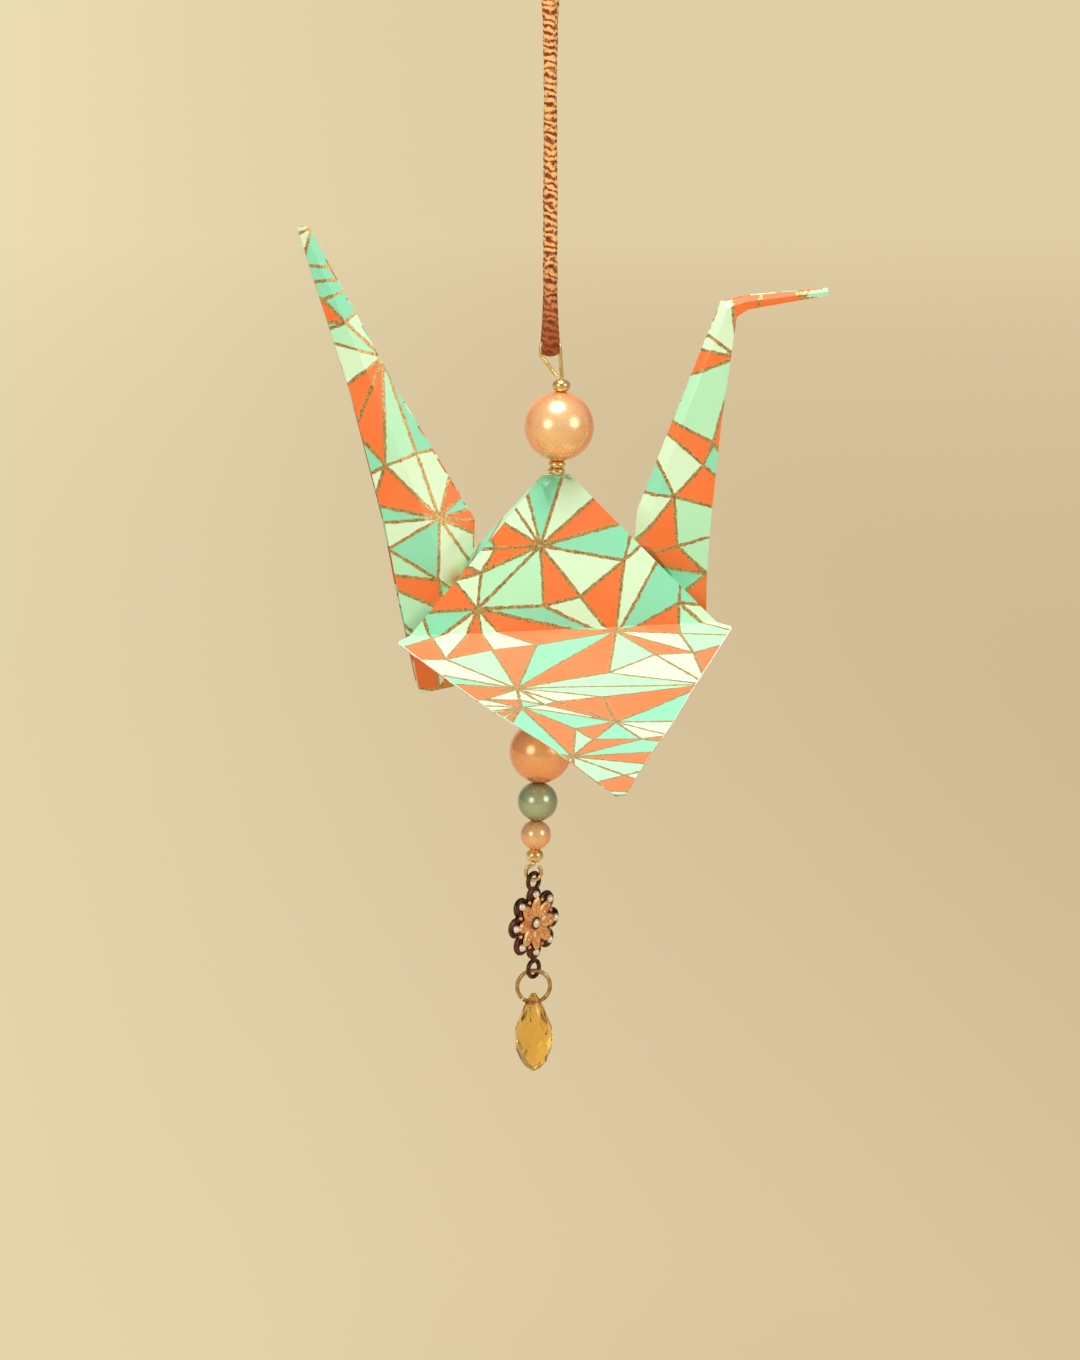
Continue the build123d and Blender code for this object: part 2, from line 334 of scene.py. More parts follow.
class Tone(Enum):
    """Colours of the printed fields."""

    CORAL = (240, 112, 30)
    MINT = (176, 234, 190)
    AQUA = (132, 220, 180)
    PALE = (210, 241, 204)


class FanPrint:
    """The sheet's print: fans of straight-sided fields round scattered hubs, in its own random layout."""

    ROW_STEP = 0.8
    STRAY = 0.3
    WEIGHTS = (0.7, 1.4)
    SPLIT_AT = (0.35, 0.65)
    SPLIT_SHARE = 0.62
    PALETTE = (Tone.CORAL, Tone.CORAL, Tone.MINT, Tone.AQUA, Tone.PALE, Tone.PALE)

    def __init__(self, seed: int, spacing: float, reach: tuple[float, float, float, float]) -> None:
        """Lay the hubs out and divide the sheet between them.

        Args:
            seed: start of the random layout.
            spacing: usual distance between two hubs.
            reach: lowest and highest coordinates of the sheet across and along.
        """
        self.random = random.Random(seed)
        self.fields: list[tuple[list[Flat], Tone]] = []
        hubs = self._hubs(spacing, reach)
        _, _, cells, *_ = delaunay_2d_cdt([Vector(hub) for hub in hubs], [], [], 0, 1e-4)
        self._divide(hubs, cells)

    def _hubs(self, spacing: float, reach: tuple[float, float, float, float]) -> list[Flat]:
        """Lay hubs out in staggered rows, each moved at random.

        Args:
            spacing: usual distance between two hubs.
            reach: lowest and highest coordinates of the sheet across and along.

        Returns:
            The hubs, row by row.
        """
        hubs = []
        low_u, low_v, high_u, high_v = reach
        rows = int((high_v - low_v) / (self.ROW_STEP * spacing)) + 1
        for row in range(rows):
            u = low_u + (0.5 * spacing if row % 2 else 0.0)
            while u < high_u:
                shift = [self.random.uniform(-self.STRAY, self.STRAY) * spacing for _ in range(2)]
                hubs.append((u + shift[0], low_v + row * self.ROW_STEP * spacing + shift[1]))
                u += spacing
        return hubs

    def _divide(self, hubs: list[Flat], cells: list[list[int]]) -> None:
        """Divide each cell between three hubs into fields that meet near its middle.

        Args:
            hubs: places of the hubs on the sheet.
            cells: the indices of each cell's three hubs.
        """
        middles: dict[tuple[int, int], Flat | None] = {}
        for cell in cells:
            corners = [hubs[index] for index in cell]
            weights = [self.random.uniform(*self.WEIGHTS) for _ in range(3)]
            total = sum(weights)
            centre = tuple(sum(w * c[axis] for w, c in zip(weights, corners)) / total for axis in range(2))
            before = None
            for index in range(3):
                first, second = cell[index], cell[(index + 1) % 3]
                key = (min(first, second), max(first, second))
                if key not in middles:
                    share = self.random.uniform(*self.SPLIT_AT)
                    low, high = hubs[key[0]], hubs[key[1]]
                    middle = tuple(low[axis] + share * (high[axis] - low[axis]) for axis in range(2))
                    middles[key] = middle if self.random.random() < self.SPLIT_SHARE else None
                middle = middles[key]
                ends = [hubs[first], hubs[second]]
                parts = [[ends[0], middle, centre], [middle, ends[1], centre]] if middle else [ends + [centre]]
                for part in parts:
                    before = self._pick(before)
                    self.fields.append((part, before))

    def _pick(self, before: Tone | None) -> Tone:
        """Return a colour that differs from the one before."""
        return self.random.choice([tone for tone in self.PALETTE if tone != before])


def side_of(start: Flat, end: Flat, point: Flat) -> float:
    """Measure how far a point lies to the left of a line.

    Args:
        start: a point on the line.
        end: a later point on the line.
        point: the point to measure.

    Returns:
        The distance, below 0 to the right of the line.
    """
    length = math.hypot(end[0] - start[0], end[1] - start[1])
    cross = (end[0] - start[0]) * (point[1] - start[1]) - (end[1] - start[1]) * (point[0] - start[0])
    return cross / length


def clip(polygon: list[Flat], start: Flat, end: Flat) -> list[Flat]:
    """Cut a convex polygon along a line, and keep what lies to its left.

    Args:
        polygon: corners of the polygon, in order.
        start: a point on the line.
        end: a later point on the line.

    Returns:
        Corners of the part that is kept.
    """
    kept: list[Flat] = []
    for index, point in enumerate(polygon):
        following = polygon[(index + 1) % len(polygon)]
        here, there = side_of(start, end, point), side_of(start, end, following)
        if here >= 0:
            kept.append(point)
        if here * there < 0:
            share = here / (here - there)
            kept.append(tuple(point[axis] + share * (following[axis] - point[axis]) for axis in range(2)))
    return kept


def area_of(polygon: list[Flat]) -> float:
    """Return a polygon's signed area."""
    pairs = zip(polygon, polygon[1:] + polygon[:1])
    return 0.5 * sum(a[0] * b[1] - b[0] * a[1] for a, b in pairs)


def clip_all(polygon: list[Flat], by: list[Flat]) -> list[Flat]:
    """Cut a convex polygon to the inside of another.

    Args:
        polygon: corners of the first, in order.
        by: corners of the second, in order.

    Returns:
        Corners of the shared part, or fewer than three where there is none.
    """
    around = by if area_of(by) > 0 else by[::-1]
    for index, start in enumerate(around):
        if len(polygon) < 3:
            break
        polygon = clip(polygon, start, around[(index + 1) % len(around)])
    return polygon


def unfold(first: Flat, second: Flat, places: tuple[Place, Place, Place], left: bool) -> Flat:
    """Return where a third corner lies on the flat sheet.

    Args:
        first: the first corner on the sheet.
        second: the second corner on the sheet.
        places: the three corners on the folded model.
        left: whether the third corner lies to the left of the line from the first to the second.

    Returns:
        The third corner on the sheet.
    """
    a, b, c = (Vector(place) for place in places)
    along = (b - a).normalized()
    forward = (c - a).dot(along)
    aside = math.sqrt(max((c - a).length_squared - forward**2, 0.0))
    line = (Vector(second) - Vector(first)).normalized()
    across = Vector((-line.y, line.x)) * (aside if left else -aside)
    return tuple(Vector(first) + line * forward + across)


@dataclass(frozen=True)
class Corner:
    """One corner of a panel, on the flat sheet and on the folded model."""

    sheet: Flat
    place: Place


Section = tuple[Flat, Flat, float, float, float]

TAIL_SECTIONS: list[Section] = [
    ((-27.3, -11.8), (-12.3, -9.0), 0.50, 3.4, 3.7),
    ((-30.9, 8.5), (-18.9, 8.8), 0.72, 3.6, 2.8),
    ((-31.8, 14.5), (-15.9, 14.5), 0.58, 3.6, 3.1),
    ((-32.8, 20.6), (-15.6, 20.6), 0.46, 3.4, 3.0),
    ((-38.2, 45.0), (-29.1, 45.0), 0.52, 1.9, 1.9),
    ((-47.1, 76.5), (-44.9, 76.5), 0.50, 0.5, 0.55),
]
NECK_SECTIONS: list[Section] = [
    ((27.4, -9.8), (11.2, -8.8), 0.50, 3.4, 3.6),
    ((27.9, 8.5), (18.6, 8.8), 0.70, 3.5, 2.6),
    ((28.4, 14.5), (14.6, 14.5), 0.82, 3.5, 2.9),
    ((29.1, 21.0), (15.3, 21.0), 0.84, 3.3, 2.8),
    ((31.3, 37.5), (22.2, 37.5), 0.80, 2.3, 2.1),
    ((34.7, 57.0), (31.8, 60.0), 0.60, 0.9, 1.0),
    ((36.9, 58.3), (36.7, 61.0), 0.55, 0.8, 0.85),
    ((52.3, 60.4), (52.2, 61.8), 0.50, 0.45, 0.5),
]


@dataclass
class PaperCrane:
    """The folded sheet, panel by panel, with its print running across the folds."""

    origin: Place = (1.77, 0.0, -131.73)
    roll: float = 1.3
    sheet_side: float = 152.4
    opening: float = 6.5
    fold_shift: float = 2.4
    far_trim: float = 3.2
    cap_length: float = 5.4
    cap_width: float = 1.3
    wing_slope: float = 11.0
    wing_tip_cut: float = 2.5
    flap_shift: Flat = (40.0, 9.0)
    belly_slope: float = 0.26
    belly_depth: float = 6.7
    leg_start: float = 22.0
    far_layer_shift: float = 47.0
    valley_foot: float = 24.0
    flat_until: float = 8.0
    wave_rise: float = 40.0
    wave_height: float = 0.4
    corner_curl: float = 1.1
    hump_swell: float = 0.16
    sheet_thickness: float = 0.24
    smooth_below: float = 24.0
    grid: float = 4.0
    layer: int = 0
    panels: list[tuple[int, list[Corner], Vector]] = field(default_factory=list)

    def __post_init__(self) -> None:
        """Work out the sizes that the folded base gives."""
        self.half_base = self.sheet_side * (math.sqrt(2) - 1) / 2
        self.height = math.sqrt(self.half_base**2 - self.opening**2)
        self.slope = self.opening / self.height
        self.cap_depth = self.cap_length / 2 * self.height / self.half_base
        self.top_level = self.height - self.cap_depth
        self.top_gap = self.cap_depth * self.slope
        self.valley: Place = (0.602 * self.half_base, 0.0, 0.292 * self.height)

    def panel(self, outward: Place, *corners: Corner) -> None:
        """Add a flat panel, as a fan of triangles, whose printed side faces roughly outward."""
        for index in range(1, len(corners) - 1):
            self.panels.append((self.layer, [corners[0], corners[index], corners[index + 1]], Vector(outward)))

    def body(self, side: int) -> None:
        """Add the hump's face, the wing, its two under flaps and the belly on one side.

        Args:
            side: -1 for the near side, 1 for the far one.
        """
        middle = self.half_base
        toward = 1 if side < 0 else -1
        half_fold = middle - (self.fold_shift if side < 0 else self.far_trim)
        fold_line = middle - toward * half_fold
        left = Corner((-half_fold, fold_line), (-half_fold, side * self.opening, 0.0))
        right = Corner((half_fold, fold_line), (half_fold, side * self.opening, 0.0))
        half_cap = self.cap_length / 2
        rim_line = middle - toward * half_cap
        top_left = Corner((-half_cap, rim_line), (-half_cap, side * self.top_gap, self.top_level))
        top_right = Corner((half_cap, rim_line), (half_cap, side * self.top_gap, self.top_level))
        self.layer = 1 if side < 0 else 2
        self.panel((0, side, 0), left, right, top_right, top_left)
        for low, high, reach in ((left, top_left, -1), (right, top_right, 1)):
            valley = (reach * self.valley[0], 0.0, self.valley[2])
            outer = unfold(low.sheet, high.sheet, (low.place, high.place, valley), (reach * toward) < 0)
            self.panel((reach, 0, 1), low, high, Corner(outer, valley))
        self.wing(side, left, right, toward)
        self.belly(side, left, right, toward)

    def wing(self, side: int, left: Corner, right: Corner, toward: int) -> None:
        """Add one wing: its upper face, and two under flaps that meet along its middle.

        Args:
            side: -1 for the near wing, 1 for the far one.
            left: the fold's end on the tail's side.
            right: the fold's end on the neck's side.
            toward: which way the sheet's middle lies from the fold.
        """
        length = self.sheet_side / 2 - self.wing_tip_cut
        half_tip = self.half_base * self.wing_tip_cut / (self.sheet_side / 2)
        slope = math.radians(self.wing_slope)
        fold_line = left.sheet[1]

        def out(x: float, distance: float, depth: float = 0.0) -> Corner:
            """Place a corner on the wing or under it.

            Args:
                x: how far along the fold.
                distance: how far out from the fold.
                depth: how far under the wing's upper face.

            Returns:
                The corner.
            """
            run = distance * math.cos(slope) - depth * math.sin(slope)
            fall = -distance * math.sin(slope) - depth * math.cos(slope)
            return Corner((x, fold_line - toward * distance), (x, side * (self.opening + run), fall))

        wide, shift = self.half_base - (0.0 if side < 0 else self.far_trim), self.fold_shift
        self.panel((0, 0, 1), left, right, out(wide, shift), out(-wide, shift))
        tips = [out(half_tip, length), out(-half_tip, length)]
        self.panel((0, 0, 1), out(-wide, shift), out(wide, shift), *tips)
        for hand in (-1, 1):
            self.layer += 2
            slit = 0.16 * hand
            corners = [
                out(slit, 1.2, 0.6),
                out(hand * (wide - shift), 0.9, 0.32),
                out(hand * wide, shift + 0.6, 0.3),
                out(hand * half_tip, length, 0.3),
                out(slit, length, 0.55),
            ]
            aside, ahead = self.flap_shift
            moved = [Corner((c.sheet[0] + aside * hand, c.sheet[1] + ahead), c.place) for c in corners]
            self.panel((0, 0, -1), *moved)

    def belly(self, side: int, left: Corner, right: Corner, toward: int) -> None:
        """Add the panel under one wing's fold, down to the crease where the tail and neck turn up.

        Args:
            side: -1 for the near side, 1 for the far one.
            left: the fold's end on the tail's side.
            right: the fold's end on the neck's side.
            toward: which way the sheet's middle lies from the fold.
        """
        self.layer += 2

        def low(spot: Flat) -> Place:
            """Return the place of a point under the fold, on the belly's slope."""
            return (spot[0], side * (self.opening + self.belly_slope * spot[1]), spot[1])

        places = [low(TAIL_SECTIONS[0][0]), low((0.0, -self.belly_depth)), low(NECK_SECTIONS[0][0])]
        sheets = [unfold(left.sheet, right.sheet, (left.place, right.place, place), toward < 0) for place in places]
        tail, middle, neck = (Corner(sheet, place) for sheet, place in zip(sheets, places))
        self.panel((0, side, -0.3), left, right, neck, middle)
        self.panel((0, side, -0.3), left, middle, tail)

    def leg(self, sections: list[Section], hand: int) -> None:
        """Add the tail or the neck from its sections.

        Args:
            sections: outer edge, spine, how far across the fold lies, and the half openings at edge and fold.
            hand: -1 for the tail, 1 for the neck.
        """
        self.layer = LEG_LAYERS[hand]
        middle = self.half_base
        base = Vector(sections[0][0]).lerp(Vector(sections[0][1]), 0.5)
        tip = Vector(sections[5][0]).lerp(Vector(sections[5][1]), 0.5)
        along = (tip - base).normalized()
        across = Vector((along.y, -along.x)) * hand
        rows: list[list[Corner]] = []
        for outer, spine, share, edge_gap, fold_gap in sections:
            start, end = Vector(outer), Vector(spine)
            fold = start.lerp(end, share)
            row = []
            for spot, gap in ((start, -edge_gap), (fold, -fold_gap), (end, 0.0), (fold, fold_gap), (start, edge_gap)):
                run, off = (spot - base).dot(along), (spot - base).dot(across)
                shift = 0.0 if len(row) < 3 else self.far_layer_shift
                row.append(Corner((hand * (self.leg_start + run), middle + off + shift), (spot.x, gap, spot.y)))
            rows.append(row)
        for lower, upper in zip(rows, rows[1:]):
            for index, out in enumerate(((0, -1, 0), (-hand, -1, 0), (-hand, 1, 0), (0, 1, 0))):
                quad = [lower[index], lower[index + 1], upper[index + 1], upper[index]]
                if index == 2:
                    quad[0], quad[3] = self.shifted(lower[2]), self.shifted(upper[2])
                self.panel(out, *quad)

    def shifted(self, corner: Corner) -> Corner:
        """Return a spine corner as the far layer of paper has it, on another part of the sheet."""
        return Corner((corner.sheet[0], corner.sheet[1] + self.far_layer_shift), corner.place)

    def cap(self) -> None:
        """Add the small flattened top of the hump and the ends of its two valleys."""
        self.layer = CAP_LAYER
        half, wide, middle = self.cap_length / 2, self.cap_width / 2, self.half_base
        corners = [
            Corner((x, middle + y), (x, y, self.top_level + 0.02))
            for x, y in ((-half, -wide), (half, -wide), (half, wide), (-half, wide))
        ]
        self.panel((0, 0, 1), *corners)
        for hand in (-1, 1):
            rim = hand * half
            near = Corner((rim, middle - 1.0), (rim, -self.top_gap, self.top_level))
            far = Corner((rim, middle + 1.0), (rim, self.top_gap, self.top_level))
            low = Corner((hand * self.valley_foot, middle), (hand * self.valley[0], 0.0, self.valley[2]))
            self.panel((hand, 0, 1), near, far, low)

    def settle_paper(self, place: Vector) -> Vector:
        """Move a point by the sheet's slight waves, curl and swell.

        Args:
            place: a point in the crane's own frame, in millimetres.

        Returns:
            The moved point.
        """
        wave = math.sin(0.11 * place.x + 0.07 * place.y + 0.8) * math.sin(0.09 * place.y - 0.05 * place.x)
        out = min(max((abs(place.y) - self.flat_until) / self.wave_rise, 0.0), 1.0)
        curl = -self.corner_curl * out * (place.x / self.half_base) ** 2
        swell = 0.0
        if abs(place.x) < self.half_base and 0 < place.z < self.top_level and abs(place.y) < self.opening:
            rise = math.sin(math.pi * place.z / self.top_level)
            swell = self.hump_swell * rise * (1 - (place.x / self.half_base) ** 2)
        return Vector((place.x, place.y * (1 + swell), place.z + self.wave_height * wave * out + curl))

    def to_model(self) -> Matrix:
        """Return the turn and move from the crane's own frame to the ornament's."""
        turn = Matrix.Rotation(-math.radians(self.roll), 4, "Y")
        return Matrix.Translation(Vector(self.origin)) @ turn

    def build(self, pattern: FanPrint) -> bpy.types.Object:
        """Fold the sheet and print it.

        Args:
            pattern: the sheet's print.

        Returns:
            The finished piece, at its place on the ornament.
        """
        for side in (-1, 1):
            self.body(side)
        self.cap()
        self.leg(TAIL_SECTIONS, -1)
        self.leg(NECK_SECTIONS, 1)
        points: list[Vector] = []
        known: dict[tuple[int, ...], int] = {}
        faces: list[list[int]] = []
        tones: list[float] = []
        reaches: list[float] = []
        slots: list[int] = []
        move = self.to_model()
        for layer, corners, outward in self.panels:
            flat = [corner.sheet for corner in corners]
            places = [Vector(corner.place) for corner in corners]
            turned = (places[1] - places[0]).cross(places[2] - places[0]).dot(outward) * area_of(flat) < 0
            for field_part, tone, reach in self.printed(flat, pattern):
                loop: dict[int, Place] = {}
                for point, distances in zip(field_part, reach):
                    place = self.settle_paper(
                        sum((spot * share for spot, share in zip(places, self.shares(point, flat))), Vector())
                    )
                    key = (layer, *(round(value * MERGE_STEPS) for value in place))
                    if key not in known:
                        known[key] = len(points)
                        points.append(move @ place * MM)
                    loop[known[key]] = distances
                if len(loop) < 3:
                    continue
                order = list(loop)[::-1] if turned else list(loop)
                faces.append(order)
                slots.append(DOUBLED_SLOT if layer in LEG_LAYERS.values() else PRINT_SLOT)
                for index in order:
                    tones.extend((*linear(*tone.value)[:3], 1.0))
                    reaches.extend(loop[index])
        piece = new_piece("folded_sheet", points, faces)
        mesh = piece.data
        colours = mesh.attributes.new("print_colour", "FLOAT_COLOR", "CORNER")
        colours.data.foreach_set("color", tones)
        lines = mesh.attributes.new("line_reach", "FLOAT_VECTOR", "CORNER")
        lines.data.foreach_set("vector", reaches)
        thick = piece.modifiers.new("thickness", "SOLIDIFY")
        thick.thickness = self.sheet_thickness * MM
        thick.offset = -1
        thick.use_even_offset = True
        thick.material_offset = BACK_SLOT
        print_side, back = PrintedPaper().material(), PlainPaper("paper_back").material()
        for finish in (print_side, back, print_side):
            mesh.materials.append(finish)
        mesh.polygons.foreach_set("material_index", slots)
        apply_modifiers(piece)
        bpy.ops.object.shade_smooth_by_angle(angle=math.radians(self.smooth_below))
        deselect()
        return piece

    def printed(self, flat: list[Flat], pattern: FanPrint) -> list[tuple[list[Flat], Tone, list[Place]]]:
        """Cut the printed fields to a triangle of the sheet and to a grid.

        Args:
            flat: the triangle's corners on the sheet.
            pattern: the sheet's print.

        Returns:
            Each piece of a field, its colour, and its corners' distances from the field's three sides.
        """
        found = []
        low = [min(point[axis] for point in flat) for axis in range(2)]
        high = [max(point[axis] for point in flat) for axis in range(2)]
        for shape, tone in pattern.fields:
            if any(
                max(p[axis] for p in shape) < low[axis] or min(p[axis] for p in shape) > high[axis] for axis in range(2)
            ):
                continue
            around = shape if area_of(shape) > 0 else shape[::-1]
            region = clip_all(flat if area_of(flat) > 0 else flat[::-1], around)
            for cell in self.cells(region):
                sides = [(around[index], around[(index + 1) % 3]) for index in range(3)]
                reach = [tuple(side_of(start, end, point) for start, end in sides) for point in cell]
                found.append((cell, tone, reach))
        return found

    def cells(self, region: list[Flat]) -> list[list[Flat]]:
        """Cut a region along a square grid.

        Args:
            region: the region's corners, in order.

        Returns:
            The parts of the region, one for each square that it reaches.
        """
        if len(region) < 3 or abs(area_of(region)) < SMALLEST_AREA:
            return []
        bands = [region]
        for axis in range(2):
            cut = []
            for band in bands:
                low = math.floor(min(p[axis] for p in band) / self.grid)
                high = math.ceil(max(p[axis] for p in band) / self.grid)
                for step in range(low, high):
                    first, second = step * self.grid, (step + 1) * self.grid
                    if axis == 0:
                        part = clip(clip(band, (first, 1.0), (first, 0.0)), (second, 0.0), (second, 1.0))
                    else:
                        part = clip(clip(band, (0.0, first), (1.0, first)), (1.0, second), (0.0, second))
                    if len(part) >= 3 and abs(area_of(part)) > SMALLEST_AREA:
                        cut.append(part)
            bands = cut
        return bands

    @staticmethod
    def shares(point: Flat, flat: list[Flat]) -> list[float]:
        """Weigh the corners of a triangle at a point in it.

        Args:
            point: the point on the sheet.
            flat: the triangle's corners on the sheet.

        Returns:
            The three corners' shares, which add up to 1.
        """
        whole = area_of(flat)
        return [
            area_of([point, flat[1], flat[2]]) / whole,
            area_of([flat[0], point, flat[2]]) / whole,
            area_of([flat[0], flat[1], point]) / whole,
        ]


@dataclass(frozen=True)
class PrintedPaper:
    """The printed side: flat colour fields parted by raised, speckled gold lines."""

    deep_gold: Shade = (136, 100, 46)
    light_gold: Shade = (222, 184, 108)
    narrow: float = 0.18
    broad: float = 0.42
    line_edge: float = 0.05
    line_metal: float = 0.5
    warm_share: float = 0.03

    def material(self) -> bpy.types.Material:
        """Make the material, which reads the print's colour and line distances from the mesh.

        Returns:
            The material.
        """
        finish = Finish("printed_paper")
        colour = finish.node("ShaderNodeAttribute", attribute_name="print_colour").outputs["Color"]
        reach = finish.node("ShaderNodeAttribute", attribute_name="line_reach").outputs["Vector"]
        parts = finish.node("ShaderNodeSeparateXYZ")
        finish.join(reach, parts.inputs[0])
        sides = parts.outputs
        nearest = finish.math("MINIMUM", finish.math("MINIMUM", sides[0], sides[1]), sides[2])
        sway, speck = finish.grain(900.0, 2600.0)
        width = finish.spread(sway, 0.0, 1.0, self.narrow, self.broad)
        line = finish.spread(finish.math("SUBTRACT", nearest, width), -self.line_edge, self.line_edge, 1.0, 0.0)
        gold = finish.mix(speck, linear(*self.deep_gold), linear(*self.light_gold))
        cloud, fibre = finish.grain(60.0, 5200.0)
        tint = finish.mix(finish.math("MULTIPLY", cloud, self.warm_share), colour, (1.0, 0.98, 0.9, 1.0))
        finish.set(
            Base_Color=finish.mix(line, tint, gold),
            Metallic=finish.math("MULTIPLY", line, self.line_metal),
            Roughness=finish.spread(finish.math("SUBTRACT", fibre, line), -1.0, 1.0, 0.34, 0.56),
            Coat_Weight=0.25,
            Coat_Roughness=0.38,
            Sheen_Weight=0.6,
            Sheen_Roughness=0.4,
        )
        finish.bump(finish.math("ADD", finish.math("MULTIPLY", fibre, 0.25), line), 0.00003, 0.6)
        return finish.material


@dataclass(frozen=True)
class PlainPaper:
    """The unprinted side of the sheet."""

    name: str
    low: Shade = (226, 220, 200)
    high: Shade = (240, 236, 220)

    def material(self) -> bpy.types.Material:
        """Make the material, with a faint fibre.

        Returns:
            The material.
        """
        finish = Finish(self.name)
        patch, fibre = finish.grain(400.0, 3000.0)
        finish.set(
            Base_Color=finish.mix(patch, linear(*self.low), linear(*self.high)),
            Roughness=finish.spread(fibre, 0.0, 1.0, 0.7, 0.85),
        )
        finish.bump(fibre, 0.00002, 0.5)
        return finish.material


class Pearl(Enum):
    """Pearl coats, as the deep colour at the rim and the light colour of the painted sheen where the pearl faces the
    camera, for each.
    """

    PEACHY = ((244, 122, 46), (255, 208, 150))
    ORANGE = ((236, 96, 26), (255, 188, 122))
    GREEN = ((60, 82, 50), (186, 200, 160))
    PEACH = ((238, 126, 56), (255, 210, 156))


@dataclass(frozen=True)
class PearlCoat:
    """A pearl's glossy coat over a soft, partly metallic body."""

    name: str
    coat: Pearl
    cloudiness: float = 0.12
    metal: float = 0.4

    def material(self) -> bpy.types.Material:
        """Make the material, with a painted sheen: lighter in colour where the surface faces the camera, deeper towards
        the rim as it is seen.

        Returns:
            The material.
        """
        finish = Finish(self.name)
        deep, light = self.coat.value
        rim = finish.node("ShaderNodeLayerWeight")
        rim.inputs["Blend"].default_value = 0.3
        cloud, grain = finish.grain(220.0, 1500.0)
        # Painted sheen: the base colour is lightest where the pearl faces the camera and deepest at its rim.
        centre = finish.spread(rim.outputs["Facing"], 0.02, 0.75, 1.0, 0.0)
        share = finish.math("SUBTRACT", centre, finish.math("MULTIPLY", cloud, self.cloudiness))
        finish.set(
            Base_Color=finish.mix(share, linear(*deep), linear(*light)),
            Roughness=finish.spread(grain, 0.0, 1.0, 0.24, 0.28),
            Metallic=self.metal,
            Coat_Weight=1.0,
            Coat_Roughness=0.08,
        )
        return finish.material


@dataclass(frozen=True)
class PlatedMetal:
    """A plated metal, darker in its worn patches."""

    name: str
    bright: Shade
    dark: Shade
    roughness: float
    wear: float = 0.6
    patch_scale: float = 700.0
    worn_roughness: float = 0.3

    def material(self) -> bpy.types.Material:
        """Make the material.

        Returns:
            The material.
        """
        finish = Finish(self.name)
        patch, grain = finish.grain(self.patch_scale, 4000.0)
        worn = finish.math("MULTIPLY", finish.spread(patch, 0.35, 0.9, 0.0, 1.0), self.wear)
        finish.set(
            Base_Color=finish.mix(worn, linear(*self.bright), linear(*self.dark)),
            Roughness=finish.spread(worn, 0.0, 1.0, self.roughness, self.roughness + self.worn_roughness),
            Metallic=1.0,
        )
        finish.bump(grain, 0.00001, 0.3)
        return finish.material


@dataclass(frozen=True)
class AmberGlass:
    """The drop's clear amber glass."""

    pale: Shade = (255, 226, 116)
    deep: Shade = (255, 186, 66)

    def material(self) -> bpy.types.Material:
        """Make the material, a little deeper in colour in places.

        Returns:
            The material.
        """
        finish = Finish("amber_glass")
        cloud, grain = finish.grain(140.0, 900.0)
        finish.set(
            Base_Color=finish.mix(cloud, linear(*self.pale), linear(*self.deep)),
            Roughness=finish.spread(grain, 0.0, 1.0, 0.0, 0.04),
            IOR=1.55,
            Transmission_Weight=0.94,
            Coat_Weight=0.4,
            Coat_Roughness=0.02,
        )
        return finish.material


@dataclass(frozen=True)
class Satin:
    """The cord's satin: fine broken ribs across it, painted lighter on their ridges as highlights and darker between
    them as shade, a darker brown towards the cord's lower end, and a copper sheen.
    """

    pitch: float = RIB_PITCH
    ragged: float = 5.0
    deep: Shade = (100, 34, 4)
    middle: Shade = (172, 74, 20)
    light: Shade = (255, 196, 124)
    # A darker brown that the ribs' light colour turns to towards the cord's lower end, and where that change starts and
    # ends.
    lower_end_brown: Shade = (160, 68, 18)
    lower_end_from: float = 5.0
    lower_end_to: float = 20.0
    lower_end_share: float = 0.1

    def material(self) -> bpy.types.Material:
        """Make the material, which reads the cord's own chart.

        Returns:
            The material.
        """
        finish = Finish("satin_cord")
        chart = finish.node("ShaderNodeUVMap", uv_map="wrap").outputs[0]
        parts = finish.node("ShaderNodeSeparateXYZ")
        finish.join(chart, parts.inputs[0])
        patch, fibre = finish.grain(560.0, 1250.0)
        turn = finish.math("MULTIPLY", parts.outputs[1], 2 * math.pi / self.pitch)
        lay = finish.math("ADD", turn, finish.math("MULTIPLY", parts.outputs[0], 2 * math.pi))
        rib = finish.math("SINE", finish.math("ADD", lay, finish.math("MULTIPLY", patch, self.ragged)))
        # Painted highlight and shade: where the ribs ridge up the colour turns light, and between them it turns dark.
        ridge = finish.spread(rib, -1.0, 1.0, 0.0, 1.0)
        blend = finish.math("ADD", finish.math("MULTIPLY", ridge, 0.5), finish.math("MULTIPLY", fibre, 0.5))
        share = finish.spread(blend, 0.3, 0.68, 0.0, 1.0)
        dark = finish.mix(patch, linear(*self.deep), linear(*self.middle))
        # The ribs' light colour turns to a darker brown towards the cord's lower end, at the eye.
        above_end_share = finish.spread(parts.outputs[1], self.lower_end_from, self.lower_end_to, self.lower_end_share, 1.0)
        light = finish.mix(above_end_share, linear(*self.lower_end_brown), linear(*self.light))
        finish.set(
            Base_Color=finish.mix(share, dark, light),
            Roughness=finish.spread(share, 0.0, 1.0, 0.6, 0.36),
            Sheen_Weight=0.05,
            Sheen_Roughness=0.4,
            Specular_IOR_Level=0.3,
        )
        finish.bump(share, 0.00012, 0.8)
        return finish.material


